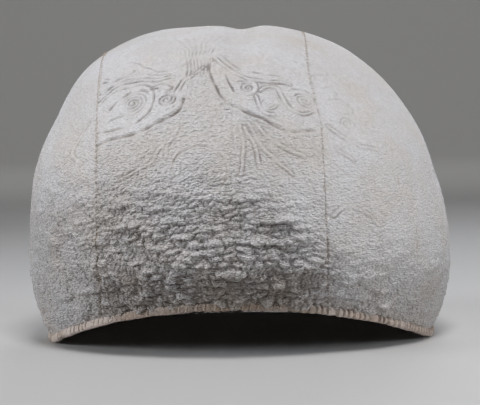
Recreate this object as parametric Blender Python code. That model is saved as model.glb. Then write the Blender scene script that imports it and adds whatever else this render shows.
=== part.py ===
"""Close-fitting quilted linen cap: a broad band over the crown, two side panels and a rolled hem.

Units are metres, +Z is up, the face of the cap looks along -Y, and the hem rests on z = 0.
"""
import math

import bmesh
import bpy

# Size of the whole cap. The pole is where the dome is highest, a little left of the middle.
CAP_HEIGHT = 0.1390
POLE_X = -0.0030
LEFT_REACH = 0.0910
RIGHT_REACH = 0.0970
FRONT_REACH = 0.1084
BACK_REACH = 0.1040

# The fullest ring, and how far the wall draws in from it down to the hem.
FULL_RING_HEIGHT = 0.0335
SIDE_TUCK = 0.0100
FRONT_TUCK = 0.0090
TUCK_POWER = 1.8

# The brow: below this height the front leans back, down to the hem.
BROW_HEIGHT = 0.0880
BROW_LEAN = 0.0150
BROW_POWER = 1.5

# Roundness of the dome in plan fraction (n) and height fraction (m), for each quarter.
# A larger number makes a squarer shoulder.
FRONT_ROUND = (2.5, 2.2)
RIGHT_ROUND = (2.6, 1.9)
BACK_ROUND = (2.5, 2.2)
LEFT_ROUND = (3.0, 2.3)

# The hem rises in an arch over the forehead and lies flat everywhere else.
ARCH_RISE = 0.0200
ARCH_HALF_ANGLE = math.radians(77)
ARCH_POWER = 1.2
ARCH_LIFT_SHARE = 0.55

# A shallow crease runs over the crown from front to back.
CREASE_X = 0.0024
CREASE_DEPTH = 0.0020
CREASE_WIDTH = 0.0070
CREASE_START = 0.1000
CREASE_FULL = 0.1300

# Cloth, hem and the clearance between neighbouring pieces.
WALL = 0.0022
HEM_TALL = 0.0038
HEM_THICK = 0.0036
HEM_CORNER = 0.0008
GAP = 0.0003

# Seams: the left one lies in a vertical plane, the right one bends in near the crown.
LEFT_SEAM_X = -0.0585
RIGHT_SEAM = ((-0.010, 0.0365), (0.095, 0.0340), (0.117, 0.0297), (0.160, 0.0290))
CUTTER_REACH = 0.150

# Mesh density.
SIDES = 64
TUCK_RINGS = 4
DOME_RINGS = 15

LINEN = (0.56, 0.54, 0.51)
HEM_LINEN = (0.55, 0.50, 0.46)


def clear_scene():
    for item in list(bpy.data.objects):
        bpy.data.objects.remove(item, do_unlink=True)


def linen_material(name, colour, roughness):
    material = bpy.data.materials.new(name)
    material.use_nodes = True
    shader = material.node_tree.nodes["Principled BSDF"]
    shader.inputs["Base Color"].default_value = (*colour, 1.0)
    shader.inputs["Roughness"].default_value = roughness
    shader.inputs["Metallic"].default_value = 0.0
    return material


def by_quarter(turn, front, right, back, left):
    """Blend four values round the cap; turn is 0 at the front and grows towards +X."""
    along = math.cos(turn)
    across = math.sin(turn)
    fore_aft = front if along > 0 else back
    side = right if across > 0 else left
    return fore_aft * along ** 2 + side * across ** 2


def hem_rise(turn):
    """Height of the hem's underside above the surface that the cap rests on."""
    share = min(abs(math.remainder(turn, 2 * math.pi)) / ARCH_HALF_ANGLE, 1.0)
    return ARCH_RISE * math.cos(share * math.pi / 2) ** ARCH_POWER if share < 1 else 0.0


def full_ring_height(turn):
    return FULL_RING_HEIGHT + ARCH_LIFT_SHARE * hem_rise(turn)


def full_ring_reach(turn):
    """Plan radius of the fullest ring: four quarter ellipses that share the pole."""
    side = RIGHT_REACH if math.sin(turn) > 0 else LEFT_REACH
    fore_aft = FRONT_REACH if math.cos(turn) > 0 else BACK_REACH
    return 1 / math.hypot(math.sin(turn) / side, math.cos(turn) / fore_aft)


def brow_lean(turn, height):
    """How far the front leans back; it fades out towards the sides."""
    share = min(max((BROW_HEIGHT - height) / (BROW_HEIGHT - ARCH_RISE), 0.0), 1.0)
    return BROW_LEAN * max(math.cos(turn), 0.0) ** 2 * share ** BROW_POWER


def tucked_reach(turn, height):
    """Plan radius of the outer face between the hem and the fullest ring, but for the lean."""
    top = full_ring_height(turn)
    share = (top - height) / (top - hem_rise(turn))
    tuck = by_quarter(turn, FRONT_TUCK, SIDE_TUCK, FRONT_TUCK, SIDE_TUCK)
    return full_ring_reach(turn) - tuck * share ** TUCK_POWER


def crease(x, height):
    share = min(max((height - CREASE_START) / (CREASE_FULL - CREASE_START), 0.0), 1.0)
    return CREASE_DEPTH * share * math.exp(-((x - CREASE_X) / CREASE_WIDTH) ** 2)


def wall_point(turn, ring, inset):
    """A point of the wall. Rings count up from the bottom edge; inset is 0 outside, WALL inside."""
    top = full_ring_height(turn)
    if ring <= TUCK_RINGS:
        bottom = hem_rise(turn) + HEM_TALL + GAP
        height = bottom + (top - bottom) * ring / TUCK_RINGS
        reach = tucked_reach(turn, height) - inset
    else:
        plan_round = by_quarter(turn, FRONT_ROUND[0], RIGHT_ROUND[0], BACK_ROUND[0], LEFT_ROUND[0])
        rise_round = by_quarter(turn, FRONT_ROUND[1], RIGHT_ROUND[1], BACK_ROUND[1], LEFT_ROUND[1])
        lift = (ring - TUCK_RINGS) / DOME_RINGS * math.pi / 2
        reach = (full_ring_reach(turn) - inset) * math.cos(lift) ** (2 / plan_round)
        height = top + (CAP_HEIGHT - inset - top) * math.sin(lift) ** (2 / rise_round)
    reach -= brow_lean(turn, height)
    x = POLE_X + reach * math.sin(turn)
    return (x, -reach * math.cos(turn), height - crease(x, height))


def wall_mesh():
    """The whole quilted dome: an outer and an inner skin joined along the bottom edge."""
    mesh = bpy.data.meshes.new("quilted_wall")
    shell = bmesh.new()
    turns = [2 * math.pi * i / SIDES for i in range(SIDES)]
    rings = range(TUCK_RINGS + DOME_RINGS)
    skins = []
    for inset in (0.0, WALL):
        skin = [[shell.verts.new(wall_point(turn, ring, inset)) for turn in turns] for ring in rings]
        pole_height = CAP_HEIGHT - inset
        pole = shell.verts.new((POLE_X, 0, pole_height - crease(POLE_X, pole_height)))
        for lower, upper in zip(skin, skin[1:]):
            for i in range(SIDES):
                j = (i + 1) % SIDES
                shell.faces.new((lower[i], lower[j], upper[j], upper[i]))
        for i in range(SIDES):
            shell.faces.new((skin[-1][i], skin[-1][(i + 1) % SIDES], pole))
        skins.append(skin)
    for i in range(SIDES):
        j = (i + 1) % SIDES
        shell.faces.new((skins[0][0][i], skins[1][0][i], skins[1][0][j], skins[0][0][j]))
    bmesh.ops.recalc_face_normals(shell, faces=shell.faces)
    bmesh.ops.triangulate(shell, faces=shell.faces)
    shell.to_mesh(mesh)
    shell.free()
    return mesh


def prism(name, outline):
    """A cutter: an outline of (x, z) points drawn through the cap from front to back."""
    mesh = bpy.data.meshes.new(name)
    body = bmesh.new()
    near = body.faces.new([body.verts.new((x, -CUTTER_REACH, z)) for x, z in outline])
    drawn = bmesh.ops.extrude_face_region(body, geom=[near])
    far = [item for item in drawn["geom"] if isinstance(item, bmesh.types.BMVert)]
    bmesh.ops.translate(body, verts=far, vec=(0, 2 * CUTTER_REACH, 0))
    bmesh.ops.recalc_face_normals(body, faces=body.faces)
    body.to_mesh(mesh)
    body.free()
    cutter = bpy.data.objects.new(name, mesh)
    cutter.hide_render = True
    cutter.display_type = "WIRE"
    bpy.context.collection.objects.link(cutter)
    return cutter


def shade(item):
    item.data.shade_smooth()
    item.data.set_sharp_from_angle(angle=math.radians(40))


def panel(name, mesh, outline, material):
    """One cloth panel: the part of the quilted wall that lies inside a prism."""
    item = bpy.data.objects.new(name, mesh.copy())
    item.data.materials.append(material)
    bpy.context.collection.objects.link(item)
    cut = item.modifiers.new("seam cut", "BOOLEAN")
    cut.operation = "INTERSECT"
    cut.solver = "EXACT"
    cut.object = prism(name + "_cutter", outline)
    shade(item)


def hem_section():
    """Section of the rolled hem as (out, up) points: a flat-bottomed roll with eased corners."""
    half = HEM_THICK / 2
    return (
        (-half + HEM_CORNER, 0),
        (half - HEM_CORNER, 0),
        (half, HEM_CORNER),
        (half, HEM_TALL - HEM_CORNER),
        (half - HEM_CORNER, HEM_TALL),
        (-half + HEM_CORNER, HEM_TALL),
        (-half, HEM_TALL - HEM_CORNER),
        (-half, HEM_CORNER),
    )


def rolled_hem(material):
    """The hem, rolled to the inside and outside alike, which carries the cap on its flat run."""
    mesh = bpy.data.meshes.new("rolled_hem")
    ring = bmesh.new()
    loops = []
    for i in range(SIDES):
        turn = 2 * math.pi * i / SIDES
        rise = hem_rise(turn)
        outside = tucked_reach(turn, rise + HEM_TALL) - brow_lean(turn, rise + HEM_TALL)
        middle = outside - WALL / 2
        loops.append([
            ring.verts.new((
                POLE_X + (middle + out) * math.sin(turn),
                -(middle + out) * math.cos(turn),
                rise + up,
            ))
            for out, up in hem_section()
        ])
    for i, here in enumerate(loops):
        beyond = loops[(i + 1) % SIDES]
        for k in range(len(here)):
            n = (k + 1) % len(here)
            ring.faces.new((here[k], here[n], beyond[n], beyond[k]))
    bmesh.ops.recalc_face_normals(ring, faces=ring.faces)
    ring.to_mesh(mesh)
    ring.free()
    mesh.materials.append(material)
    item = bpy.data.objects.new("rolled_hem", mesh)
    bpy.context.collection.objects.link(item)
    shade(item)


def build():
    clear_scene()
    quilted = linen_material("quilted_linen", LINEN, 0.95)
    rolled = linen_material("hem_linen", HEM_LINEN, 0.9)
    half_gap = GAP / 2
    low = RIGHT_SEAM[0][0]
    high = RIGHT_SEAM[-1][0]
    far = CUTTER_REACH
    left_edge = LEFT_SEAM_X - half_gap
    band_edge = LEFT_SEAM_X + half_gap
    wall = wall_mesh()
    panel("left_panel", wall, ((-far, low), (left_edge, low), (left_edge, high), (-far, high)), quilted)
    right_of_band = [(x - half_gap, z) for z, x in RIGHT_SEAM]
    panel("crown_band", wall, [(band_edge, low), *right_of_band, (band_edge, high)], quilted)
    left_of_side = [(x + half_gap, z) for z, x in reversed(RIGHT_SEAM)]
    panel("right_panel", wall, [(far, low), (far, high), *left_of_side], quilted)
    rolled_hem(rolled)


build()
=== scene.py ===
import itertools
import math

import bpy
import numpy as np
from mathutils import Matrix, Vector


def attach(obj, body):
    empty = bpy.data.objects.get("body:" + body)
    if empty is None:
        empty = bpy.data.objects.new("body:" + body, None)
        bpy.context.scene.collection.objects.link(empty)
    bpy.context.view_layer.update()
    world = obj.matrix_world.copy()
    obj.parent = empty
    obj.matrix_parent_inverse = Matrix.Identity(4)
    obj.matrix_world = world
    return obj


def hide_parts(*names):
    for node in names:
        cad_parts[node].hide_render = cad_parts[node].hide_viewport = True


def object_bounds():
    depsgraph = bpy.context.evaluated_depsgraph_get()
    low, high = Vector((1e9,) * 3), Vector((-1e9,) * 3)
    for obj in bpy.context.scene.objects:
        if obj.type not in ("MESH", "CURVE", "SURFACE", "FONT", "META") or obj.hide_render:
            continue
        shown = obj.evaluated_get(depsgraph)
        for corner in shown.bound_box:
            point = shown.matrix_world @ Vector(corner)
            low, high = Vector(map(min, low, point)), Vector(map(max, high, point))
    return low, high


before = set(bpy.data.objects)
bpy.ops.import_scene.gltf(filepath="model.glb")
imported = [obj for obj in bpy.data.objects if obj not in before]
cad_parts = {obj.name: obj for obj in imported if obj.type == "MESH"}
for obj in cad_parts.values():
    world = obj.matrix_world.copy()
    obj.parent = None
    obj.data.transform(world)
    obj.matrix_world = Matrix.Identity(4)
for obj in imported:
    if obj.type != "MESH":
        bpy.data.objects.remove(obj)                # four plain solids that ride on one body, "root"
cadLow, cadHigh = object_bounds()    # the box that the looks stay in
mm = 0.001
print("frame:", ", ".join(sorted(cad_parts)))

# The cap's plain form, the same as its solids. A turn is 0 at the front, where the hem
# arches, and grows towards +X. Pairs and fours go front, right, back, left.
cap = {
    "poleX": -3.0 * mm,
    "height": cadHigh.z + 0.5 * mm,      # the crease takes half a millimetre off the crown
    "frontReach": 108.4 * mm,
    "fullRing": 33.5 * mm,
    "tuckFront": 9.0 * mm,
    "tuckSide": 10.0 * mm,
    "tuckPower": 1.8,
    "planRound": (2.5, 2.6, 2.5, 3.0),   # a larger number makes a squarer shoulder
    "riseRound": (2.2, 1.9, 2.2, 2.3),
    "archRise": 20.0 * mm,
    "browHeight": 88.0 * mm,             # below this the front leans back
    "browLean": 15.0 * mm,
    "browPower": 1.5,
    "archHalf": math.radians(77),
    "archPower": 1.2,
    "archLift": 0.55,
    "creaseX": 2.4 * mm,
    "creaseDepth": 2.0 * mm,
    "creaseWidth": 7.0 * mm,
    "creaseFrom": 100.0 * mm,
    "creaseTo": 130.0 * mm,
    "wall": 2.2 * mm,
    "hemTall": 3.8 * mm,
    "hemThick": 3.6 * mm,
    "lap": 0.3 * mm,                     # how far the quilting is let into the hem
    "join": 0.03 * mm,                   # from a seam's line to the cloth on each side
    "leftSeam": -58.5 * mm,
    "rightSeamZ": (-10 * mm, 95 * mm, 117 * mm, 160 * mm),
    "rightSeamX": (36.5 * mm, 34.0 * mm, 29.7 * mm, 29.0 * mm),
    "eye": 45.0 * mm,                    # height of the line that the cloth is measured round
}

camera = {
    "aim": (0.0004, 0.0, 0.0598),
    "distance": 0.900,
    "elevation": 3.0,
    "roll": -0.966,
    "lens": 150,
    "sensor": 36,
}

studio = {
    "floorRadius": 2.6,
    "coveRadius": 1.2,
    "coveTop": 2.6,
    "coveSteps": 8,
    "around": 64,
    "floorColour": "#c9c8c6",
    "backdrop": Vector((0.0, 3.8, 0.9)),
    "air": "#eef0f5",
    "airStrength": 0.08,
    "lamps": {                           # place, size, watts, spread in degrees, colour
        "overhead_softbox": ((0.08, -0.68, 1.09), (0.36, 0.30), 9.3, 180, "#fbfbfd"),
        "left_softbox": ((-1.30, -0.36, 0.36), (0.70, 0.36), 1.50, 60, "#f4f7fd"),
        "right_softbox": ((1.25, -0.42, 0.36), (0.70, 0.36), 0.90, 60, "#f4f7fd"),
        "rear_softbox": ((0.25, 1.40, 0.60), (0.80, 0.50), 1.10, 60, "#f4f7fd"),
        "backdrop_wash": ((0.0, 1.20, 1.60), (1.60, 0.40), 16.0, 180, "#ffffff"),
    },
}


def linear(hexColour):
    # an sRGB hex value as the linear colour that shaders take
    parts = [int(hexColour[i:i + 2], 16) / 255 for i in (1, 3, 5)]
    return (*[p / 12.92 if p <= 0.04045 else ((p + 0.055) / 1.055) ** 2.4 for p in parts], 1.0)


def addNode(tree, kind, values=None, links=None, **settings):
    # one shader node with its settings, socket values and links
    node = tree.nodes.new(kind)
    for name, value in settings.items():
        setattr(node, name, value)
    for socket, value in (values or {}).items():
        node.inputs[socket].default_value = value
    for socket, source in (links or {}).items():
        tree.links.new(source, node.inputs[socket])
    return node


def newMaterial(name, roughness, **sockets):
    material = bpy.data.materials.new(name)
    material.use_nodes = True
    shader = material.node_tree.nodes["Principled BSDF"]
    shader.inputs["Roughness"].default_value = roughness
    for socket, value in sockets.items():
        shader.inputs[socket.replace("_", " ")].default_value = value
    return material, material.node_tree, shader


def linkObject(name, data):
    item = bpy.data.objects.new(name, data)
    bpy.context.collection.objects.link(item)
    return item


def addCamera():
    data = bpy.data.cameras.new("camera")
    data.lens, data.sensor_width = camera["lens"], camera["sensor"]
    aim, lift = Vector(camera["aim"]), math.radians(camera["elevation"])
    back = Vector((0, -math.cos(lift), math.sin(lift)))
    right, roll = Vector((1, 0, 0)), math.radians(camera["roll"])
    up = back.cross(right)
    tilted = math.cos(roll) * right + math.sin(roll) * up
    rows = Matrix((tilted, back.cross(tilted), back)).transposed().to_4x4()
    item = linkObject("camera", data)
    item.matrix_world = Matrix.Translation(aim + back * camera["distance"]) @ rows
    bpy.context.scene.camera = item


def addStudio():
    world = bpy.data.worlds.new("studio_air")
    world.use_nodes = True
    air = world.node_tree.nodes["Background"].inputs
    air["Color"].default_value = linear(studio["air"])
    air["Strength"].default_value = studio["airStrength"]
    bpy.context.scene.world = world
    bpy.context.scene.view_settings.view_transform = "Standard"
    aim = Vector(camera["aim"])
    for name, (place, size, watts, spread, colour) in studio["lamps"].items():
        data = bpy.data.lights.new(name, "AREA")
        data.shape, data.size, data.size_y = "RECTANGLE", size[0], size[1]
        data.energy, data.color = watts, linear(colour)[:3]
        data.spread = math.radians(spread)
        lamp = linkObject(name, data)
        lamp.location = place
        towards = (studio["backdrop"] if name == "backdrop_wash" else aim) - lamp.location
        lamp.rotation_euler = towards.to_track_quat("-Z", "Y").to_euler()
    # a pale floor that curves up all round into a wall, so that no horizon shows
    flat, cove = studio["floorRadius"], studio["coveRadius"]
    profile = [(flat * 0.5, 0.0), (flat, 0.0)]
    for i in range(1, studio["coveSteps"] + 1):
        bend = math.pi / 2 * i / studio["coveSteps"]
        profile.append((flat + cove * math.sin(bend), cove * (1 - math.cos(bend))))
    profile.append((flat + cove, studio["coveTop"]))
    spots, faces, around = [], [], studio["around"]
    for reach, height in profile:
        for k in range(around):
            turn = 2 * math.pi * k / around
            spots.append((reach * math.sin(turn), reach * math.cos(turn), height))
    faces.append(list(range(around)))
    for ring in range(len(profile) - 1):
        for k in range(around):
            n = (k + 1) % around
            low, high = ring * around, (ring + 1) * around
            faces.append((low + k, high + k, high + n, low + n))
    mesh = bpy.data.meshes.new("studio_floor")
    mesh.from_pydata(spots, [], faces)
    mesh.shade_smooth()
    material, _, shader = newMaterial("mattStudioPaper", 0.9)
    shader.inputs["Base Color"].default_value = linear(studio["floorColour"])
    mesh.materials.append(material)
    linkObject("studio_floor", mesh)


addCamera()
addStudio()
print("studio set up")


# The plain wall of the cap, for whole arrays of places at once.
search = {
    "reach": 0.18,       # further than any part of the wall from a point inside
    "halvings": 28,
    "edgeSteps": 1801,
}


def byQuarter(turn, values):
    # four values, front right back left, blended round the cap
    front, right, back, left = values
    along, across = np.cos(turn), np.sin(turn)
    return (np.where(along > 0, front, back) * along ** 2
            + np.where(across > 0, right, left) * across ** 2)


def hemRise(turn):
    share = np.minimum(np.abs(np.remainder(turn + np.pi, 2 * np.pi) - np.pi) / cap["archHalf"], 1)
    return cap["archRise"] * np.maximum(np.cos(share * np.pi / 2), 0) ** cap["archPower"]


def edgeHeight(turn):
    return hemRise(turn) + cap["hemTall"] - cap["lap"]


def browLean(turn, height):
    share = np.clip((cap["browHeight"] - height) / (cap["browHeight"] - cap["archRise"]), 0, 1)
    return cap["browLean"] * np.maximum(np.cos(turn), 0) ** 2 * share ** cap["browPower"]


def wallReach(turn, height, inset=0.0):
    # how far the wall is from the pole's line, at any height
    top = cap["fullRing"] + cap["archLift"] * hemRise(turn)
    side = np.where(np.sin(turn) > 0, cadHigh.x - cap["poleX"], cap["poleX"] - cadLow.x)
    foreAft = np.where(np.cos(turn) > 0, cap["frontReach"], cadHigh.y)
    full = 1 / np.hypot(np.sin(turn) / side, np.cos(turn) / foreAft) - inset
    tuck = byQuarter(turn, (cap["tuckFront"], cap["tuckSide"]) * 2)
    drop = np.clip((top - height) / (top - hemRise(turn)), 0, 1.2)
    rise = np.clip((height - top) / (cap["height"] - inset - top), 0, 1)
    dome = (1 - rise ** byQuarter(turn, cap["riseRound"])) ** (1 / byQuarter(turn, cap["planRound"]))
    reach = np.where(height < top, full - tuck * drop ** cap["tuckPower"], full * dome)
    return reach - browLean(turn, height)


def seamX(side, height):
    if side == "left":
        return np.full_like(height, cap["leftSeam"])
    return np.interp(height, cap["rightSeamZ"], cap["rightSeamX"])


def castToWall(start, ray, inset=0.0):
    # where rays from inside the cap meet its wall, found by halving
    near, far = np.zeros(len(ray)), np.full(len(ray), search["reach"])
    for _ in range(search["halvings"]):
        half = (near + far) / 2
        spot = start + ray * half[:, None]
        x = spot[:, 0] - cap["poleX"]
        outside = np.hypot(x, spot[:, 1]) > wallReach(np.arctan2(x, -spot[:, 1]), spot[:, 2], inset)
        near, far = np.where(outside, near, half), np.where(outside, half, far)
    share = np.clip((spot[:, 2] - cap["creaseFrom"]) / (cap["creaseTo"] - cap["creaseFrom"]), 0, 1)
    fold = np.exp(-((spot[:, 0] - cap["creaseX"]) / cap["creaseWidth"]) ** 2)
    spot[:, 2] -= cap["creaseDepth"] * share * fold
    return spot


def edgePlace(x, back):
    # the wall's bottom edge at each x, on the front or the back run
    steps = np.linspace(-np.pi / 2, np.pi / 2, search["edgeSteps"])
    turn = np.pi - steps if back else steps
    reach = wallReach(turn, edgeHeight(turn))
    here = np.interp(x, cap["poleX"] + reach * np.sin(turn), turn if not back else steps)
    turn = np.pi - here if back else here
    reach = wallReach(turn, edgeHeight(turn))
    return turn, -reach * np.cos(turn), edgeHeight(turn)


def castStrip(x, share, back, inset=0.0):
    # places on the wall over x, from the bottom edge (share 0) up to the crest (share 1)
    _, y, z = edgePlace(x, back)
    low = np.arctan2(z - cap["eye"], np.abs(y))
    lift = low + share * (np.pi / 2 - low)
    start = np.column_stack([x, np.zeros_like(x), np.full_like(x, cap["eye"])])
    away = 1 if back else -1
    ray = np.column_stack([np.zeros_like(x), away * np.cos(lift), np.sin(lift)])
    return castToWall(start, ray, inset)


def seamRun(side, share, back, beside=0.0):
    # places along a seam, or beside it by that much in x
    x = seamX(side, np.full_like(share, 60 * mm)) + beside
    for _ in range(4):
        x = seamX(side, castStrip(x, share, back)[:, 2]) + beside
    return castStrip(x, share, back)


def solidNoise(spot, cell, seed):
    # smooth noise in space from about -0.6 to 0.6; cell is its grain in mm, one or three numbers
    slopes = np.random.RandomState(seed).normal(size=(64, 64, 64, 3)).astype(np.float32)
    slopes /= np.linalg.norm(slopes, axis=3, keepdims=True)
    place = spot / mm / np.asarray(cell, float) + 500.0
    base = np.floor(place).astype(int)
    part = place - base
    fade = part ** 3 * (part * (part * 6 - 15) + 10)
    total = np.zeros(len(spot))
    for corner in itertools.product((0, 1), repeat=3):
        step = np.array(corner)
        cellAt = (base + step) & 63
        slope = slopes[cellAt[:, 0], cellAt[:, 1], cellAt[:, 2]]
        weight = np.prod(np.where(step, fade, 1 - fade), axis=1)
        total += weight * ((part - step) * slope).sum(1)
    return total


def ease(low, high, value):
    share = np.clip((value - low) / (high - low), 0, 1)
    return share * share * (3 - 2 * share)


def smoothRoute(points, steps=7):
    # a smooth line through a few points
    points = np.asarray(points, float)
    held = np.vstack([2 * points[0] - points[1], points, 2 * points[-1] - points[-2]])
    route = []
    for a, b, c, d in zip(held, held[1:], held[2:], held[3:]):
        for k in range(steps):
            t = k / steps
            route.append(0.5 * (2 * b + (c - a) * t + (2 * a - 5 * b + 4 * c - d) * t * t
                                + (3 * b - a - 3 * c + d) * t ** 3))
    return np.array(route + [points[-1]])


def spiralRoute(middle, radius, rings, begin, hand):
    # a stitched coil that runs in from radius to its middle; begin is in degrees
    t = np.linspace(0, 1, int(26 * rings))
    turn = math.radians(begin) + hand * 2 * np.pi * rings * t
    out = radius * (1 - 0.9 * t)
    return np.column_stack([middle[0] + out * np.cos(turn), middle[1] + out * np.sin(turn)])


def awayFrom(route, a, b):
    # distance from each place to a route made of short straight steps
    start, step = route[:-1], np.diff(route, axis=0)
    da, db = a[:, None] - start[:, 0], b[:, None] - start[:, 1]
    along = np.clip((da * step[:, 0] + db * step[:, 1]) / (step ** 2).sum(1), 0, 1)
    return np.hypot(da - along * step[:, 0], db - along * step[:, 1]).min(1)


# The drawn pattern, in mm on the cloth: first number to the right of the band's middle, second
# up from the front hem. A line is one row of stitches, a cord stands up between two rows.
bandPattern = {
    "sweeps": [                                   # the two deep lines that part plain from stippled
        [(0, 118), (0.3, 110), (2, 102), (4, 94), (7, 88), (13, 83), (19, 80), (27, 76.5),
         (33, 74), (38, 75), (44, 76)],
        [(-9, 90), (-11, 84), (-17.5, 81), (-21, 80), (-27, 78), (-36, 78), (-46, 78.5)],
    ],
    "cords": [
        [(3, 114), (7, 107), (12.6, 102), (18, 99), (25, 98), (34, 98)],
        [(2, 111), (-5, 103), (-10, 99.5), (-12, 94)],
        [(13, 75), (14.6, 69), (14.6, 62), (13.8, 55)],
        [(15, 74), (18.5, 68), (20.5, 62), (21, 58)],
        [(17, 76), (21, 68), (27, 61.5), (34, 56)],
        [(20, 76), (25, 70.5), (32, 66), (39, 64)],
        [(-12, 76), (-15.5, 70), (-17, 64)],
        [(-14, 72), (-20, 68), (-23, 63), (-30, 60), (-36, 58)],
        [(-44, 121), (-38, 116), (-31, 117)],
        [(-44, 111), (-36, 113), (-29, 111), (-22, 107), (-16, 105)],
        [(-45, 106), (-38, 110), (-30, 108), (-22, 104.5), (-14, 103)],
        [(-22, 99), (-18.5, 99.5), (-15, 97)],
        [(22, 92), (25, 95), (29, 94), (31, 89), (35, 84), (39.5, 83), (44, 86)],
        [(20, 89), (23, 81.5), (27, 80.5)],
    ],
    "lines": [
        [(-3.6, 132), (-5, 119), (-6, 113), (-10, 109), (-15, 108), (-20, 110), (-24, 114),
         (-27, 119), (-35, 130)],
        [(-45, 102), (-41, 105.5), (-34, 105), (-25.5, 102.5), (-21.5, 97), (-22, 90),
         (-28, 83.5), (-34, 82.5), (-41, 83.5), (-46, 86)],
        [(-10, 100), (-12.6, 96.5), (-13.5, 91.5)],
        [(8, 101), (10, 96), (11, 92)],
        [(5.5, 116), (10, 109), (15, 105), (22, 102.5), (30, 102)],
        [(30, 113), (34, 115), (38, 114)],
        [(13, 97.5), (20, 98), (21, 92), (17, 89.5), (12, 91)],
        [(35, 96), (41, 96), (44.5, 92)],
        [(-44, 88), (-38, 89.5), (-33, 88)],
        [(-40, 96), (-36, 99), (-31, 101.5)],
        [(-3, 67.5), (-10, 65.5), (-14, 60), (-12, 53), (-6, 48.5), (0, 48), (6, 51.5), (8, 58),
         (4, 65), (-3, 67.5)],
    ],
    "spirals": [                                  # middle, radius, rings, where it begins, hand
        ((-30.5, 94), 7.0, 4.0, 20, 1),
        ((-16, 91), 4.2, 2.3, 100, -1),
        ((16.5, 94), 3.2, 1.8, 60, 1),
        ((25, 86), 3.7, 2.2, 0, -1),
        ((40, 90), 4.2, 2.4, 160, -1),
    ],
}
for k in range(8):                                # the sheaf of stems up the middle
    spread = k / 7 - 0.5
    bandPattern["lines"].append([(-3 + 27 * spread, 137), (-3 + 15 * spread, 126),
                                 (-3 + 9.5 * spread, 114), (-3.3 + 10 * spread, 102)])

# The same measure carries on over the seams, where the cloth turns away to each side.
leftPattern = {
    "sweeps": [],
    "cords": [
        [(-60, 108), (-67, 101), (-70, 93), (-67, 85), (-60, 80)],
        [(-50, 96), (-55, 90), (-57, 82), (-53, 74)],
    ],
    "lines": [
        [(-62, 102), (-66, 95), (-65, 88), (-60, 85)],
        [(-48, 70), (-56, 66), (-64, 67), (-70, 72)],
        [(-48, 60), (-55, 55), (-64, 56)],
    ],
    "spirals": [((-56, 43), 4.5, 2.5, 0, 1)],
}
rightPattern = {
    "sweeps": [],
    "cords": [
        [(49, 73), (54, 69), (60, 66)],
        [(49, 80), (56, 76), (63, 74), (70, 76)],
        [(50, 40), (57, 44), (65, 42), (70, 36)],
    ],
    "lines": [
        [(41, 114), (46, 117), (50, 112), (44, 108), (41, 103), (46, 100), (51, 104), (54, 100)],
        [(50, 94), (55, 97), (60, 93), (56, 89), (50, 90)],
        [(52, 62), (60, 58), (68, 60)],
    ],
    "spirals": [((72, 28), 5.2, 3.0, 30, 1), ((58, 84), 3.6, 2.0, 200, -1)],
}
# Over the ears the cloth faces sideways, and this is measured to the back and up from the rest.
sidePattern = {
    "sweeps": [],
    "cords": [
        [(-30, 34), (-18, 44), (0, 48), (18, 44), (30, 34)],
        [(-2, 50), (-8, 64), (-20, 74), (-33, 74)],
        [(2, 50), (8, 64), (20, 74), (33, 74)],
        [(0, 52), (0, 66), (0, 82)],
    ],
    "lines": [
        [(0, 92), (-9, 84), (-11, 74), (-6, 64), (0, 58), (6, 64), (11, 74), (9, 84), (0, 92)],
        [(-40, 56), (-28, 62), (-16, 58)],
        [(40, 56), (28, 62), (16, 58)],
    ],
    "spirals": [((-22, 62), 5.2, 3.0, 90, 1), ((22, 62), 5.2, 3.0, 90, -1),
                ((-14, 36), 4.0, 2.2, 0, 1), ((14, 36), 4.0, 2.2, 180, -1)],
}


# The largest puffs of the crumpled lower front: place across and height, half length and half
# height, all in mm, and how far the right end lies lower, in degrees.
puffs = [
    (-47, 66, 3.0, 1.2, 5), (-42, 57, 3.2, 1.2, 0), (-31, 44, 3.6, 0.9, 3), (-37, 38, 3.8, 1.5, 0),
    (-27, 37, 3.0, 1.0, -5), (-19, 34, 3.3, 1.4, 4), (-46, 33, 3.2, 1.8, 0), (-45, 29, 1.9, 1.2, -4),
    (-39, 28, 3.7, 1.8, -14), (-69, 20, 5.0, 2.2, -4), (-4, 37, 3.4, 1.4, 0), (-10, 50, 3.4, 2.2, 0),
    (-31, 47, 2.2, 1.6, 0), (-57, 40, 3.5, 1.4, -8), (20, 59, 3.3, 1.1, 4), (8, 50, 4.4, 1.1, 12),
    (25, 40, 3.6, 1.1, 7), (12, 44, 3.2, 1.8, 4), (7, 35, 3.9, 1.1, 0), (15, 33, 2.8, 1.5, 0),
    (31, 41, 2.8, 1.2, 5), (23, 23, 5.2, 1.4, 0), (31, 31, 3.5, 1.2, 3), (39, 26, 3.4, 1.8, 8),
    (11, 23, 2.4, 2.0, 0), (-65, 28, 4.2, 1.4, -6), (-74, 24, 3.2, 1.8, -6), (-54, 24, 4.2, 1.7, -5),
    (-54, 52, 2.3, 1.2, -4), (-44, 51, 2.8, 1.2, -10), (-34, 55, 3.0, 1.1, -4), (-23, 52, 3.1, 1.1, 0),
    (-15, 41, 2.8, 1.2, 0), (49, 24, 3.6, 1.6, 4), (59, 20, 3.4, 1.7, 8), (44, 31, 2.6, 1.3, 3),
    (-54, 60, 3.8, 1.1, -4), (-11, 28, 3.6, 1.8, 0), (1, 41, 3.6, 1.2, 2), (-1, 26, 3.0, 1.8, 0),
]


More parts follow.
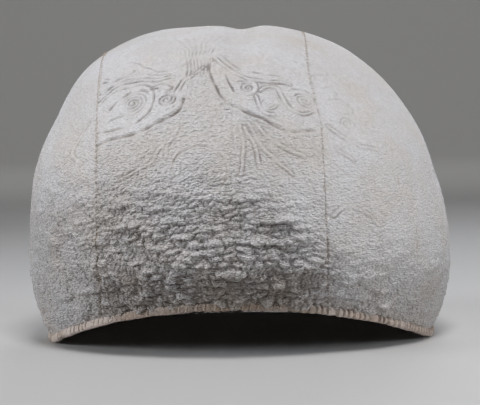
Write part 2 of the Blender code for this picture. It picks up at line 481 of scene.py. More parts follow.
quilting = {                         # in mm; a cell is the grain of a noise
    "bandMiddle": -12.5,
    "stippleCell": (2.9, 2.9, 1.9),
    "rowStep": 1.95,
    "tickStep": 2.3,
    "echoStep": 1.6,                 # between the rows that echo a drawn line
    "largeCell": (14.0, 14.0, 4.0),
    "cushionLong": 6.0,
    "cushionTall": 2.8,
    "smallCell": (3.0, 3.0, 1.5),
    "overhang": 1.8,                 # how far above itself a puff is compared for its shade
    "largeHeight": 1.4,
    "cushionHeight": 1.6,
    "puffHeight": 1.1,
    "bellyHeight": 1.4,
    "ridgeHeight": 1.2,
    "pinchIn": 1.5,                  # the dent high on the left panel
}


def puffRelief(x, y, z):
    # the largest puffs, each a short low cushion, from 0 to 1
    height = np.zeros(len(x))
    for across, up, long, tall, lean in puffs:
        near = np.flatnonzero((np.abs(x - across) < 9) & (np.abs(z - up) < 6) & (y < -30))
        cosine, sine = math.cos(math.radians(lean)), math.sin(math.radians(lean))
        dx, dz = x[near] - across, z[near] - up
        along, over = dx * cosine - dz * sine, dx * sine + dz * cosine
        made = np.exp(-np.abs(along / long) ** 3 - np.abs(over / tall) ** 2)
        height[near] = np.maximum(height[near], made)
    return height


def drawnRelief(pattern, a, b):
    # relief of a drawn pattern in mm, its stitched rows from 0 to 1, and the way to the nearest
    relief, row, nearest = np.zeros(len(a)), np.zeros(len(a)), np.full(len(a), 30.0)
    kinds = [("sweep", smoothRoute(p)) for p in pattern["sweeps"]]
    kinds += [("cord", smoothRoute(p)) for p in pattern["cords"]]
    kinds += [("line", smoothRoute(p)) for p in pattern["lines"]]
    kinds += [("line", spiralRoute(*p)) for p in pattern["spirals"]]
    for kind, route in kinds:
        low, high = route.min(0) - 7, route.max(0) + 7
        near = np.flatnonzero((a > low[0]) & (a < high[0]) & (b > low[1]) & (b < high[1]))
        if not len(near):
            continue
        away = awayFrom(route, a[near], b[near])
        if kind == "sweep":
            dip = 0.85 * np.exp(-(away / 0.60) ** 2)
            made = -0.88 * dip + 0.42 * np.exp(-((away - 1.6) / 0.9) ** 2)
        elif kind == "cord":
            dip = 0.8 * np.exp(-((away - 0.95) / 0.38) ** 2)
            made = -0.52 * dip + 0.34 * np.exp(-(away / 0.6) ** 2)
        else:
            dip = 0.7 * np.exp(-(away / 0.40) ** 2)
            made = -0.56 * dip + 0.20 * np.exp(-((away - 0.9) / 0.42) ** 2)
        stronger = np.abs(made) > np.abs(relief[near])
        relief[near] = np.where(stronger, made, relief[near])
        row[near] = np.maximum(row[near], dip)
        nearest[near] = np.minimum(nearest[near], away)
    return relief, row, nearest


def billow(noise, width):
    # rounded puffs with narrow valleys between them
    return 1 - np.exp(-np.abs(noise) / width)


def cushionRows(across, up, long, tall, seed):
    # small cushions in rows, each of its own height, from 0 at their stitched edges to about 1
    chance = np.random.RandomState(seed).rand(64, 64)
    row = np.floor(up / tall)
    rowAt = row.astype(int) & 63
    shifted = across / long + 7 * chance[rowAt, 0]
    column = np.floor(shifted)
    size = 0.3 + 0.7 * chance[rowAt, column.astype(int) & 63]
    a, b = 2 * (shifted - column) - 1, 2 * (up / tall - row) - 1
    return size * (1 - np.abs(a) ** 3.5) * (1 - np.abs(b) ** 2.2)


def quiltRelief(spot, piece):
    # how far the cloth stands off the plain wall and how far it droops, in mm, and its marks
    x, y, z = spot.T / mm
    turn = np.arctan2(x - cap["poleX"] / mm, -y)
    u = x - quilting["bandMiddle"] + 1.3 * solidNoise(spot, 7.0, 14)
    upright = np.abs(y) + browLean(turn, spot[:, 2]) / mm * np.cos(turn)
    v = 1.8 * (np.degrees(np.arctan2(z - cap["eye"] / mm, upright)) + 14)
    v = v + 1.3 * solidNoise(spot, 7.0, 15)
    fromEdge = z - edgeHeight(turn) / mm
    front = ease(25, 65, -y)
    low = ease(90, 50, z + 32 * ease(18, 52, x))

    # the plain ground below the sweeps is stippled, above them it is calm
    if piece == "band":
        edge = np.interp(u, (-46, -27, -17.5, -11, -9, -6, -2, 0, 2, 4, 7, 13, 19, 27, 33, 46),
                         (78.5, 78, 81, 84, 93, 104, 112, 116, 103, 94, 88, 83, 80, 76.5, 74, 76.5))
        calm = ease(-1.5, 1.5, v - edge)
        softness = 1 - 0.25 * ease(22, 44, u)
        drawn, row, nearest = drawnRelief(bandPattern, u, v)
    else:
        calm = ease(100, 124, z) if piece == "left" else ease(66, 104, z)
        softness = np.full(len(spot), 0.85 if piece == "left" else 0.70)
        over = np.abs(y) < 46
        drawn, row, nearest = drawnRelief(leftPattern if piece == "left" else rightPattern, u, v)
        sideways = drawnRelief(sidePattern, y + u - x + quilting["bandMiddle"], z)
        keep = ease(48, 42, np.abs(y))
        drawn = np.where(over, sideways[0] * keep, drawn)
        row = np.where(over, sideways[1] * keep, row)
        nearest = np.where(over, sideways[2], nearest)
    patch = np.exp(-(((x - 19) * 0.85 - (z - 70) * 0.53) / 18) ** 2
                   - (((x - 19) * 0.53 + (z - 70) * 0.85) / 9) ** 2) * front
    softness = softness * (1 - 0.55 * patch)
    rough = low * softness * (0.45 + 0.55 * front)
    plain = ease(112, 132, z)
    fade = np.clip(0.75 + 1.8 * solidNoise(spot, 5.0, 16), 0.2, 1.3)
    bold = 0.76 + 0.50 * ease(74, 86, v) if piece == "band" else 0.68
    bold = bold * fade * (1 - 0.25 * low) * (1 - 0.75 * plain)

    # stippling: stitched rows wander between small puffs, wider than they are tall
    sway = np.column_stack([solidNoise(spot, 8.0, s) for s in (11, 12, 13)]) * 2.6 * mm
    puff = billow(solidNoise(spot + sway, quilting["stippleCell"], 21), 0.16)
    rowPlace, tickPlace = v + 2.4 * solidNoise(spot, 12.0, 23), u + 2.0 * solidNoise(spot, 9.0, 24)
    rows = 0.5 + 0.5 * np.cos(2 * np.pi * rowPlace / quilting["rowStep"])
    ticks = 0.5 + 0.5 * np.cos(2 * np.pi * tickPlace / quilting["tickStep"])
    ladder = (ease(17, 9, np.abs(u + 1)) * ease(52, 66, v) * 0.8 if piece == "band"
              else 0.4 * ease(60, 80, z))
    stipple = (1 - ladder) * puff + ladder * (0.50 * rows + 0.22 * ticks + 0.28 * puff)
    strength = softness * (0.25 + (1 - calm) * (0.19 + 0.20 * low) + 0.10 * low) * (1 - 0.7 * plain)

    # rows that echo the drawn lines, on the calm ground
    echo = 0.5 + 0.5 * np.cos(2 * np.pi * nearest / quilting["echoStep"])
    echoed = calm * np.exp(-nearest / 4.0) * ease(0.8, 1.6, nearest) * (1 - plain)
    relief = strength * (stipple - 0.6) * (1 - 0.7 * np.exp(-(nearest / 1.0) ** 2))
    relief += 0.20 * echoed * (echo - 0.5) + drawn * bold

    # crumpling: puffs that lie across the front and hang over a little at their lower edges
    overhang = np.array([0, 0, quilting["overhang"] * mm])
    large, above = (ease(0.0, 0.42, solidNoise(spot + 1.2 * sway + up, quilting["largeCell"], 31))
                    for up in (np.zeros(3), overhang))
    wobble = [2.4 * solidNoise(spot, 9.0, s) + 1.1 * solidNoise(spot, 3.6, s + 5) for s in (36, 37)]
    middle = cushionRows(u + 1.5 * wobble[0], v + wobble[1], quilting["cushionLong"],
                         quilting["cushionTall"], 32)
    small = billow(solidNoise(spot + 0.3 * sway, quilting["smallCell"], 33), 0.15)
    cushions = puffRelief(x, y, z)
    relief += rough * (quilting["largeHeight"] * large + quilting["cushionHeight"] * (middle - 0.4)
                       + 0.35 * (small - 0.6))
    relief += quilting["puffHeight"] * cushions * (1 - 0.4 * patch)
    droop = 0.35 * (rough * (quilting["largeHeight"] * large + 1.2 * middle)
                    + quilting["puffHeight"] * cushions)
    # how far the cloth above overhangs each place, kept for the painted shade beneath the puffs
    shadeBeneath = np.clip(rough * (above - large) + (puffRelief(x, y, z + 1.6) - cushions), 0, 1)

    # slow waves, the belly over the brow and the ridge that runs down to the right of the fold
    relief += 1.0 * solidNoise(spot, 27.0, 34) + 0.6 * solidNoise(spot, 12.0, 35) * (1 - 0.5 * calm)
    belly = np.exp(-((z - 42) / 10) ** 2 - ((x + 5) / 38) ** 2)
    relief += quilting["bellyHeight"] * belly * front
    overRidge = (z - 55) * 0.85 + (x - 22) * 0.53
    alongRidge = (x - 22) * 0.85 - (z - 55) * 0.53
    ridge = np.exp(-(overRidge / 6.5) ** 2 - (alongRidge / 22) ** 4)
    relief += quilting["ridgeHeight"] * ridge * front
    if piece == "left":
        relief -= quilting["pinchIn"] * np.exp(-((z - 104) / 13) ** 2) * ease(-50, -72, x)

    # the fold down the middle of the front
    foldX = np.interp(z, (26, 51, 72, 86, 97), (0.4, 0.6, 0.2, -1.6, -2.2))
    fold = (y < 0) * ease(112, 96, z) * ease(12, 30, z)
    relief += fold * (-0.35 * np.exp(-((x - foldX) / 0.55) ** 2)
                      + 0.45 * np.exp(-((x - foldX - 4.5) / 4.0) ** 2))

    # the edges roll down into the seams, and draw in at the hem in small gathers
    toLeft, toRight = np.abs(x - cap["leftSeam"] / mm), np.abs(x - seamX("right", spot[:, 2]) / mm)
    toSeam = toLeft if piece == "left" else toRight if piece == "right" else np.minimum(toLeft, toRight)
    onLeft = toLeft < toRight
    worn = np.clip(0.55 + 1.8 * solidNoise(spot, 6.0, 43), 0.1, 1)
    worn = worn * np.where(onLeft, ease(128, 104, z), 0.35 + 0.65 * np.exp(-((z - 52) / 24) ** 2))
    relief += -(0.18 + 0.25 * worn) * np.exp(-(toSeam / 0.6) ** 2)
    relief += 0.6 * solidNoise(spot, (3.0, 3.0, 3.0), 41) * np.exp(-toSeam / 3.0)
    gather = np.cos(2 * np.pi * stitchPhase(turn) + 2.0 * solidNoise(spot, 16.0, 42))
    ragged = ease(-0.1, 0.35, solidNoise(spot, (4.4, 4.4, 9.0), 44))
    ragged = ragged * front * ease(54, 34, np.abs(x + 8))
    gathered = 0.22 * gather * (0.4 + 0.6 * ease(-20, 20, x))
    relief += np.exp(-fromEdge / 2.6) * (gathered - 0.1 + 1.1 * ragged)
    droop = droop + 1.7 * ragged * np.exp(-fromEdge / 3.0)

    # the stitched rows, the stippled hollows and the valleys are darker, partly dirt and partly painted
    # shade; beneath the puffs and all under the brow it is painted shade; stains brown the edges
    ground = (1 - 0.8 * calm) * (0.35 + 0.65 * low) * (1 - np.clip((stipple - 0.1) / 0.5, 0, 1))
    valley = rough * np.maximum(1 - middle / 0.25, 0)
    # painted shade in patches under the brow
    brow = front * ease(60, 26, z) * ease(62, 24, np.abs(x + 4))
    shadeAndDirt = np.maximum(row * bold, 0.42 * softness * np.maximum(ground, valley))
    shadeAndDirt = shadeAndDirt + 0.5 * shadeBeneath + brow * 0.7 * solidNoise(spot, (16.0, 16.0, 9.0), 53)
    # painted shade low on the front under the brow's overhang, lighter on the tops of the cushions
    shaded = front * ease(40, 32, z) * ease(60, 34, np.abs(x + 13))
    shadeAndDirt = shadeAndDirt + 1.15 * shaded * (1 - 0.75 * ease(0.2, 0.65, middle))
    shadeAndDirt = np.clip(shadeAndDirt, 0, 1)
    stain = 0.8 * worn * np.exp(-(toSeam / 0.5) ** 2)
    stain += 0.30 * worn * np.exp(-toSeam / 4) * ease(-0.1, 0.3, solidNoise(spot, 8.0, 51))
    stain += 0.30 * np.exp(-fromEdge / 4) + 0.25 * ease(0.05, 0.35, solidNoise(spot, 24.0, 52)) * low
    stain += 0.30 * row * ease(112, 84, z)
    grain = softness * (0.38 + (1 - calm) * (0.12 + 0.40 * low) + 0.20 * low) * (1 - 0.6 * plain)
    grain = grain * (1 - 0.3 * cushions) * (1 - 0.4 * np.exp(-(nearest / 1.0) ** 2))
    marks = {"shadeAndDirt": (shadeAndDirt, 0.25), "stain": (np.clip(stain, 0, 1), 0.35),
             "grain": (np.clip(grain, 0, 1), 0.3)}
    return relief, droop, marks


hem = {
    "stitch": 3.4 * mm,          # from one whip stitch to the next
    "around": 1176,
    "section": 22,
    "pinch": 0.30,
    "thread": 0.17 * mm,
    "square": 2.6,               # a larger number makes a squarer roll
}
meanReach = (cadHigh.x - cadLow.x + cadHigh.y - cadLow.y) / 4 - cap["tuckSide"]
stitchCount = round(2 * math.pi * meanReach / hem["stitch"])


def stitchPhase(turn):
    # whole at each whip stitch of the hem: they are set by hand, so not quite evenly
    return (turn * stitchCount / (2 * np.pi) + 0.30 * np.sin(11 * turn) + 0.22 * np.sin(29 * turn + 1)
            + 0.16 * np.sin(53 * turn + 2))


panels = {
    "innerStep": 4,              # the back of the cloth is this many times coarser
    "band": (280, 560, 240),     # columns, rows to the crest in front, rows behind it
    "bandParts": {               # the band is one strip in three meshes, each with its rows
        "crown_band_brow": (0, 300),
        "crown_band_crown": (300, 560),
        "crown_band_back": (560, 800),
    },
    "left": (340, 232),
    "right": (376, 232),
    "archShare": 0.27,           # how much of a side panel's seam is taken as its upright edges
    "archSteps": 1000,
}


def gridNormals(grid, hand):
    normal = np.cross(np.gradient(grid, axis=1), np.gradient(grid, axis=0)) * hand
    return normal / np.maximum(np.linalg.norm(normal, axis=2, keepdims=True), 1e-12)


def flatten(grid):
    return grid.reshape(-1, grid.shape[-1])


def clothPiece(name, outer, inner, hand, marks, material, normals=None):
    # one closed piece of cloth: a fine face outside, a coarse one inside and a rim between
    step = panels["innerStep"]
    rows, columns = outer.shape[:2]
    coarse = inner[::step, ::step]
    index = np.arange(rows * columns).reshape(rows, columns)
    behind = np.arange(coarse.shape[0] * coarse.shape[1]).reshape(coarse.shape[:2]) + rows * columns

    def quads(ids):
        return np.stack([ids[:-1, :-1], ids[:-1, 1:], ids[1:, 1:], ids[1:, :-1]], -1).reshape(-1, 4)

    def border(ids):
        return np.concatenate([ids[0, :-1], ids[:-1, -1], ids[-1, :0:-1], ids[:0:-1, 0]])

    faces = quads(index).tolist() + quads(behind)[:, ::-1].tolist()
    outerFaces = (rows - 1) * (columns - 1)
    fineLoop, coarseLoop = border(index), border(behind)
    for k in range(len(coarseLoop)):
        run = [fineLoop[(k * step + i) % len(fineLoop)] for i in range(step, -1, -1)]
        run += [coarseLoop[k], coarseLoop[(k + 1) % len(coarseLoop)]]
        faces.append([int(i) for i in run])
    if hand < 0:
        faces = [face[::-1] for face in faces]
    mesh = bpy.data.meshes.new(name)
    mesh.from_pydata(np.vstack([flatten(outer), flatten(coarse)]).tolist(), [], faces)
    smooth = np.ones(len(faces), bool)
    smooth[len(faces) - len(coarseLoop):] = False
    mesh.polygons.foreach_set("use_smooth", smooth)
    for key, (values, inside) in marks.items():
        layer = mesh.attributes.new(key, "FLOAT", "POINT")
        both = np.concatenate([values, np.full(len(flatten(coarse)), inside)])
        layer.data.foreach_set("value", both.astype(np.float32))
    if normals is not None:
        given = np.zeros((len(mesh.loops), 3), np.float32)
        ids = np.zeros(len(mesh.loops), np.int32)
        mesh.loops.foreach_get("vertex_index", ids)
        given[:outerFaces * 4] = flatten(normals)[ids[:outerFaces * 4]]
        mesh.normals_split_custom_set(given.tolist())
    mesh.materials.append(material)
    item = linkObject(name, mesh)
    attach(item, "root")
    print("made", name, len(faces), "faces")
    return item


def raised(grid, hand, piece):
    # the grid with its relief, and the marks that its material reads
    relief, droop, marks = quiltRelief(flatten(grid), piece)
    shape = (*grid.shape[:2], 1)
    lifted = grid + gridNormals(grid, hand) * relief.reshape(shape) * mm
    return lifted - np.array([0, 0, mm]) * droop.reshape(shape), marks


def crownBand(material):
    # one strip from hem to hem over the crest, made as meshes that share their end rows
    columns, frontRows, backRows = panels["band"]
    across = np.linspace(0, 1, columns + 1)
    grids = []
    for inset in (0.0, cap["wall"]):
        strip = []
        for back, count in ((False, frontRows), (True, backRows)):
            share = np.linspace(0, 1, count + 1)
            right = seamRun("right", share, back, -cap["join"])[:, 0]
            left = np.full_like(right, cap["leftSeam"] + cap["join"])
            x = (left[:, None] + (right - left)[:, None] * across).ravel()
            run = castStrip(x, np.repeat(share, columns + 1), back, inset)
            run = run.reshape(count + 1, columns + 1, 3)
            strip.append(run if not back else run[::-1][1:])
        grids.append(np.concatenate(strip))
    outer, inner = grids
    lifted, marks = raised(outer, 1, "band")
    normals = gridNormals(lifted, 1)
    made = []
    for name, (first, last) in panels["bandParts"].items():
        part = slice(first, last + 1)
        ids = np.arange(outer.shape[0] * outer.shape[1]).reshape(outer.shape[:2])[part].ravel()
        own = {key: (values[ids], inside) for key, (values, inside) in marks.items()}
        made.append(clothPiece(name, lifted[part], inner[part], 1, own, material, normals[part]))
    return made


def sidePanel(side, material):
    # a half moon between the seam and the hem, filled from its four edges
    hand = -1 if side == "left" else 1
    columns, rows = panels[side]
    beside = hand * cap["join"]
    share = np.linspace(0, 1, 401)
    arch = np.vstack([seamRun(side, share, False, beside), seamRun(side, share, True, beside)[-2::-1]])
    corner = seamX(side, np.array([cap["hemTall"]])) + beside
    begin, end = (float(edgePlace(corner, back)[0][0]) for back in (False, True))
    turn = np.linspace(begin, end if hand > 0 else end - 2 * np.pi, 801)
    reach = wallReach(turn, edgeHeight(turn))
    brim = np.column_stack([cap["poleX"] + reach * np.sin(turn), -reach * np.cos(turn), edgeHeight(turn)])
    centre = np.array([cap["poleX"], 0, cap["eye"]])

    def chart(spot):
        ray = spot - centre
        flat = np.hypot(ray[:, 1], ray[:, 2])
        return np.arctan2(flat, hand * ray[:, 0])[:, None] * ray[:, 1:] / flat[:, None]

    def evenly(line, count):
        length = np.concatenate([[0], np.cumsum(np.linalg.norm(np.diff(line, axis=0), axis=1))])
        at = np.linspace(0, length[-1], count + 1)
        return np.column_stack([np.interp(at, length, line[:, k]) for k in range(2)])

    brim, arch = chart(brim), chart(arch)
    arch[0], arch[-1] = brim[0], brim[-1]
    last = panels["archSteps"]
    arch = evenly(arch, last)
    first = int(last * panels["archShare"])
    near, top = evenly(arch[:first + 1], rows), evenly(arch[first:last + 1 - first], columns)
    far, brim = evenly(arch[last - first:][::-1], rows), evenly(brim, columns)
    s, t = np.linspace(0, 1, columns + 1)[None, :, None], np.linspace(0, 1, rows + 1)[:, None, None]
    spread = ((1 - t) * brim[None] + t * top[None] + (1 - s) * near[:, None] + s * far[:, None]
              - (1 - s) * (1 - t) * brim[0] - s * (1 - t) * brim[-1]
              - (1 - s) * t * top[0] - s * t * top[-1])
    flat = flatten(spread)
    tilt = np.hypot(flat[:, 0], flat[:, 1])[:, None]
    ray = np.hstack([hand * np.cos(tilt), flat * np.sin(tilt) / np.maximum(tilt, 1e-9)])
    grids = [castToWall(centre, ray, inset).reshape(rows + 1, columns + 1, 3)
             for inset in (0.0, cap["wall"])]
    lifted, marks = raised(grids[0], hand, side)
    return clothPiece(side + "_panel_quilt", lifted, grids[1], hand, marks, material)


def tubes(name, routes, radius, sides, material):
    # lengths of thread as one piece, each closed at its ends
    spots, faces = [], []
    for route in routes:
        route = np.asarray(route)
        along = np.gradient(route, axis=0)
        along /= np.linalg.norm(along, axis=1, keepdims=True)
        first = np.cross(along, route - np.array([cap["poleX"], 0, cap["eye"]]))
        first /= np.linalg.norm(first, axis=1, keepdims=True)
        second = np.cross(along, first)
        base = len(spots)
        for place, a, b in zip(route, first, second):
            for k in range(sides):
                turn = 2 * math.pi * k / sides
                spots.append(place + radius * (math.cos(turn) * a + math.sin(turn) * b))
        for ring in range(len(route) - 1):
            for k in range(sides):
                low, n = base + ring * sides, (k + 1) % sides
                faces.append((low + k, low + n, low + sides + n, low + sides + k))
        faces.append([base + k for k in range(sides)][::-1])
        faces.append([base + (len(route) - 1) * sides + k for k in range(sides)])
    mesh = bpy.data.meshes.new(name)
    mesh.from_pydata([tuple(map(float, p)) for p in spots], [], faces)
    mesh.shade_smooth()
    mesh.materials.append(material)
    item = linkObject(name, mesh)
    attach(item, "root")
    print("made", name, len(routes), "lengths")
    return item


def hemShape(turn, angle, grow=0.0):
    # a place on the roll: angle 0 points out and a quarter turn points up
    rise = hemRise(turn)
    middle = wallReach(turn, rise + cap["hemTall"]) - cap["wall"] / 2
    phase = np.remainder(stitchPhase(turn), 1)
    near = np.minimum(phase, 1 - phase) * hem["stitch"] / mm
    tight = hem["pinch"] * (0.15 + 0.85 * ease(-0.45, 0.05, np.sin(turn)))   # not much on the left
    tight = tight * (1 + 0.5 * np.sin(17 * turn + 0.6) * np.sin(41 * turn))
    pinch = 1 - tight * np.exp(-(near / 0.6) ** 2)
    power = hem["square"]
    square = (np.abs(np.cos(angle)) ** power + np.abs(np.sin(angle)) ** power) ** (-1 / power)
    out = (cap["hemThick"] / 2 * pinch * square + grow) * np.cos(angle)
    up = (cap["hemTall"] / 2 * (pinch * 0.6 + 0.4) * square + grow) * np.sin(angle)
    reach = middle + out
    return np.stack([cap["poleX"] + reach * np.sin(turn), -reach * np.cos(turn),
                     np.maximum(rise + cap["hemTall"] / 2 + up, 0)], -1)


def rolledHem(material):
    around, section = hem["around"], hem["section"]
    turn = np.linspace(0, 2 * np.pi, around, endpoint=False)[:, None]
    angle = np.linspace(0, 2 * np.pi, section, endpoint=False)[None, :]
    grid = hemShape(turn + 0 * angle, angle + 0 * turn)
    spot = flatten(grid)
    inward = flatten(hemShape(turn + 0 * angle, angle + 0 * turn, -0.5 * mm)) - spot
    bump = 0.7 * solidNoise(spot, (2.4, 2.4, 1.8), 61) + 1.1 * solidNoise(spot, 7.0, 62) - 0.15
    spot = spot - inward / (0.5 * mm) * (bump * 0.45 * mm)[:, None]
    spot[:, 2] = np.maximum(spot[:, 2], 0.02 * mm)
    index = np.arange(around * section).reshape(around, section)
    faces = np.stack([index, np.roll(index, -1, 0), np.roll(np.roll(index, -1, 0), -1, 1),
                      np.roll(index, -1, 1)], -1).reshape(-1, 4)
    mesh = bpy.data.meshes.new("rolled_hem_cloth")
    mesh.from_pydata(spot.tolist(), [], faces.tolist())
    mesh.shade_smooth()
    # darker at each stitch's pinch, more so on the right, and painted shade on the lower half of the roll
    # across the front
    phase = np.remainder(stitchPhase(turn), 1) + 0 * angle
    shadeAndDirt = np.exp(-(np.minimum(phase, 1 - phase) * hem["stitch"] / mm / 0.5) ** 2).ravel()
    shadeAndDirt = shadeAndDirt * (0.3 + 0.7 * ease(-20, 20, spot[:, 0] / mm))
    below = ease(0.9, 0.2, np.sin(angle + 0 * turn).ravel()) * (spot[:, 1] < 0)
    shadeAndDirt = np.clip(shadeAndDirt + below * ease(50, 36, np.abs(spot[:, 0] / mm + 10)), 0, 1)
    stain = np.clip(0.4 + 1.1 * solidNoise(spot, 14.0, 63), 0, 1)
    for key, values in (("shadeAndDirt", shadeAndDirt), ("stain", stain), ("grain", np.full(len(spot), 0.35))):
        layer = mesh.attributes.new(key, "FLOAT", "POINT")
        layer.data.foreach_set("value", values.astype(np.float32))
    mesh.materials.append(material)
    item = linkObject("rolled_hem_cloth", mesh)
    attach(item, "root")
    print("made rolled_hem_cloth", len(faces), "faces")
    return item


def hemStitches(material):
    # whip stitches: each goes from the top of the roll down over its outer face, on a slant
    turns = np.linspace(0, 2 * np.pi, 7201)
    phases = stitchPhase(turns)
    routes = []
    for k in range(stitchCount):
        turn = np.interp(phases[0] + k + np.linspace(0.12, -0.16, 11), phases, turns)
        angle = np.radians(np.linspace(112, -50, 11))
        grow = np.interp(np.arange(11), (0, 1, 9, 10), (-0.3, 0.02, 0.02, -0.3)) * mm
        routes.append(hemShape(turn, angle, grow))
    item = tubes("hem_stitches", routes, hem["thread"], 6, material)
    return item


mends = [                            # short mends on the right: their ends across and up, in mm
    ((66.0, 73.5), (66.8, 69.0)),
    ((73.6, 51.5), (74.4, 47.5)),
    ((74.5, 46.0), (74.6, 42.0)),
]


seams = {
    "count": 130,                    # stitches from hem to hem
    "beside": 0.7 * mm,              # from the seam to each end of a stitch
    "slant": 0.004,                  # how much further along the second end is
    "thread": 0.10 * mm,
}


def seamStitches(material):
    # small slanting stitches that draw the panels together, and a few short mends on the right
    routes, slant = [], seams["slant"]
    for side in ("left", "right"):
        for back in (False, True):
            share = np.linspace(slant, 1 - slant, seams["count"] // 2 + 1)
            before = seamRun(side, share, back, -seams["beside"])
            after = seamRun(side, np.minimum(share + slant, 1), back, seams["beside"])
            for a, b in zip(before, after):
                out = (a + b) / 2 - np.array([0, 0, cap["eye"]])
                out /= np.linalg.norm(out)
                t = np.linspace(0, 1, 7)[:, None]
                routes.append(a + (b - a) * t + out * mm * (0.9 * np.sin(np.pi * t) ** 0.7 - 0.7))
    for begin, end in mends:
        line = np.linspace(begin, end, 9) * mm
        start = np.column_stack([line[:, 0], np.zeros(9), line[:, 1]])
        spot = castToWall(start, np.tile((0.0, -1.0, 0.0), (9, 1)))
        relief, droop, _ = quiltRelief(spot, "right")
        out = spot - np.array([cap["poleX"], 0, cap["eye"]])
        out /= np.linalg.norm(out, axis=1, keepdims=True)
        rise = relief + np.interp(np.arange(9), (0, 1, 7, 8), (-0.3, 0.12, 0.12, -0.3))
        routes.append(spot + out * rise[:, None] * mm - np.array([0, 0, mm]) * droop[:, None])
    item = tubes("seam_stitches", routes, seams["thread"], 5, material)
    return item


def quiltedLinen():
    # plain woven linen, quilted by hand with cotton cord: dry and matt, off-white gone uneven with
    # age, greyer in the stitched rows and hollows, partly dirt and partly painted shade, darker with
    # painted shade under the brow and the puffs, and browner by seams and hem, with the weave just
    # showing
    material, tree, shader = newMaterial("quiltedLinen", 0.88, IOR=1.5, Sheen_Weight=0.15,
                                         Sheen_Roughness=0.45, Specular_IOR_Level=0.25)
    return clothNodes(material, tree, shader, "#d4d2d3", "#cdc8c3", "#7f7771", "#9c8768", 0.66)


def hemLinen():
    # the same linen rolled at the edge: rubbed, warmer and more soiled by handling, with painted shade on
    # the underside of the roll across the front
    material, tree, shader = newMaterial("rolledHemLinen", 0.85, IOR=1.5, Sheen_Weight=0.15,
                                         Sheen_Roughness=0.45, Specular_IOR_Level=0.25)
    return clothNodes(material, tree, shader, "#d6cac3", "#c9bab0", "#75675a", "#a58d76", 0.60)


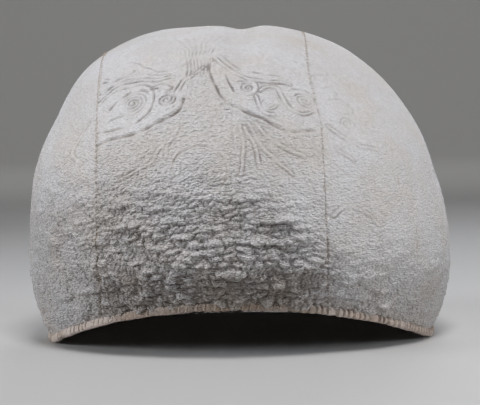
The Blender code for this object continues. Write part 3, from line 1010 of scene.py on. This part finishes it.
def clothNodes(material, tree, shader, light, warm, deep, brown, dirtAndShadeAmount):
    place = addNode(tree, "ShaderNodeTexCoord").outputs["Object"]
    shadeAndDirt = addNode(tree, "ShaderNodeAttribute", attribute_name="shadeAndDirt").outputs["Fac"]
    stain = addNode(tree, "ShaderNodeAttribute", attribute_name="stain").outputs["Fac"]
    grain = addNode(tree, "ShaderNodeAttribute", attribute_name="grain").outputs["Fac"]
    # blotches a few centimetres across, and specks of about 2 mm
    blotch = addNode(tree, "ShaderNodeTexNoise", {"Scale": 38.0, "Detail": 4.0, "Roughness": 0.6},
                     {"Vector": place})
    speck = addNode(tree, "ShaderNodeTexNoise", {"Scale": 480.0, "Detail": 3.0, "Roughness": 0.65},
                    {"Vector": place})
    uneven = addNode(tree, "ShaderNodeMapRange", {"From Min": 0.35, "From Max": 0.65},
                     {"Value": blotch.outputs["Fac"]})
    ground = addNode(tree, "ShaderNodeMix", {6: linear(light), 7: linear(warm)},
                     {0: uneven.outputs["Result"]}, data_type="RGBA")
    dusty = addNode(tree, "ShaderNodeMapRange", {"From Min": 0.3, "From Max": 0.7, "To Min": 0.92,
                                                 "To Max": 1.05}, {"Value": speck.outputs["Fac"]})
    specked = addNode(tree, "ShaderNodeVectorMath", {},
                      {0: ground.outputs[2], 1: dusty.outputs["Result"]}, operation="MULTIPLY")
    # fine stitching as small flat grains of about 1 mm, with faint rows that follow contours
    flatter = addNode(tree, "ShaderNodeVectorMath", {1: (1.0, 1.0, 1.7)}, {0: place},
                      operation="MULTIPLY")
    contour = addNode(tree, "ShaderNodeTexNoise", {"Scale": 120.0, "Detail": 0.0},
                      {"Vector": flatter.outputs[0]})
    turns = addNode(tree, "ShaderNodeMath", {1: 72.0}, {0: contour.outputs["Fac"]}, operation="MULTIPLY")
    wave = addNode(tree, "ShaderNodeMath", {}, {0: turns.outputs[0]}, operation="SINE")
    grains = addNode(tree, "ShaderNodeTexVoronoi", {"Scale": 700.0, "Randomness": 0.9},
                     {"Vector": flatter.outputs[0]}, feature="F1")
    rounded = addNode(tree, "ShaderNodeMath", {1: -1.9, 2: 1.0}, {0: grains.outputs["Distance"]},
                      operation="MULTIPLY_ADD")
    stitched = addNode(tree, "ShaderNodeMath", {1: 0.11}, {0: wave.outputs[0], 2: rounded.outputs[0]},
                       operation="MULTIPLY_ADD")
    height = addNode(tree, "ShaderNodeMath", {}, {0: stitched.outputs[0], 1: grain}, operation="MULTIPLY")
    # the hollows between the grains are darkened: painted shade, with some dust
    hollow = addNode(tree, "ShaderNodeMapRange", {"From Min": 0.35, "From Max": -0.45, "To Max": 0.38},
                     {"Value": stitched.outputs[0]})
    dimmed = addNode(tree, "ShaderNodeMath", {}, {0: hollow.outputs["Result"], 1: grain},
                     operation="MULTIPLY")
    # the mask and the darkened hollows mix in the deep colour: dirt and painted shade together
    depth = addNode(tree, "ShaderNodeMath", {1: dirtAndShadeAmount}, {0: shadeAndDirt, 2: dimmed.outputs[0]},
                    operation="MULTIPLY_ADD", use_clamp=True)
    soiledAndShaded = addNode(tree, "ShaderNodeMix", {7: linear(deep)},
                     {0: depth.outputs[0], 6: specked.outputs[0]}, data_type="RGBA")
    patchy = addNode(tree, "ShaderNodeMath", {1: 0.5}, {0: stain}, operation="MULTIPLY")
    stained = addNode(tree, "ShaderNodeMix", {7: linear(brown)},
                      {0: patchy.outputs[0], 6: soiledAndShaded.outputs[2]}, data_type="RGBA")
    tree.links.new(stained.outputs[2], shader.inputs["Base Color"])
    # weave: threads are 0.35 mm apart and wouldn't show, so they are drawn at 0.8 mm
    weave = addNode(tree, "ShaderNodeTexNoise", {"Scale": 1250.0, "Detail": 2.0, "Roughness": 0.6},
                    {"Vector": place})
    nap = addNode(tree, "ShaderNodeBump", {"Strength": 0.35, "Distance": 0.25 * mm},
                  {"Height": weave.outputs["Fac"]})
    quilting = addNode(tree, "ShaderNodeBump", {"Strength": 1.0, "Distance": 0.75 * mm},
                       {"Height": height.outputs[0], "Normal": nap.outputs["Normal"]})
    tree.links.new(quilting.outputs["Normal"], shader.inputs["Normal"])
    return material


def linenThread():
    # waxed linen thread, twisted: slightly brown against the cloth, with a faint gloss
    material, tree, shader = newMaterial("waxedLinenThread", 0.7, IOR=1.5, Sheen_Weight=0.1)
    place = addNode(tree, "ShaderNodeTexCoord").outputs["Object"]
    twist = addNode(tree, "ShaderNodeTexNoise", {"Scale": 2200.0, "Detail": 1.0}, {"Vector": place})
    tone = addNode(tree, "ShaderNodeMix", {6: linear("#b09f8c"), 7: linear("#c8bbae")},
                   {0: twist.outputs["Fac"]}, data_type="RGBA")
    tree.links.new(tone.outputs[2], shader.inputs["Base Color"])
    nap = addNode(tree, "ShaderNodeBump", {"Strength": 0.5, "Distance": 0.1 * mm},
                  {"Height": twist.outputs["Fac"]})
    tree.links.new(nap.outputs["Normal"], shader.inputs["Normal"])
    return material


linen, rolled, thread = quiltedLinen(), hemLinen(), linenThread()
bandBrow, bandCrown, bandBack = crownBand(linen)
leftQuilt, rightQuilt = sidePanel("left", linen), sidePanel("right", linen)
hemCloth = rolledHem(rolled)
whip, seaming = hemStitches(thread), seamStitches(thread)

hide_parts("crown_band")
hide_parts("crown_band")
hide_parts("crown_band")
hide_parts("left_panel")
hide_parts("right_panel")
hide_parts("rolled_hem")
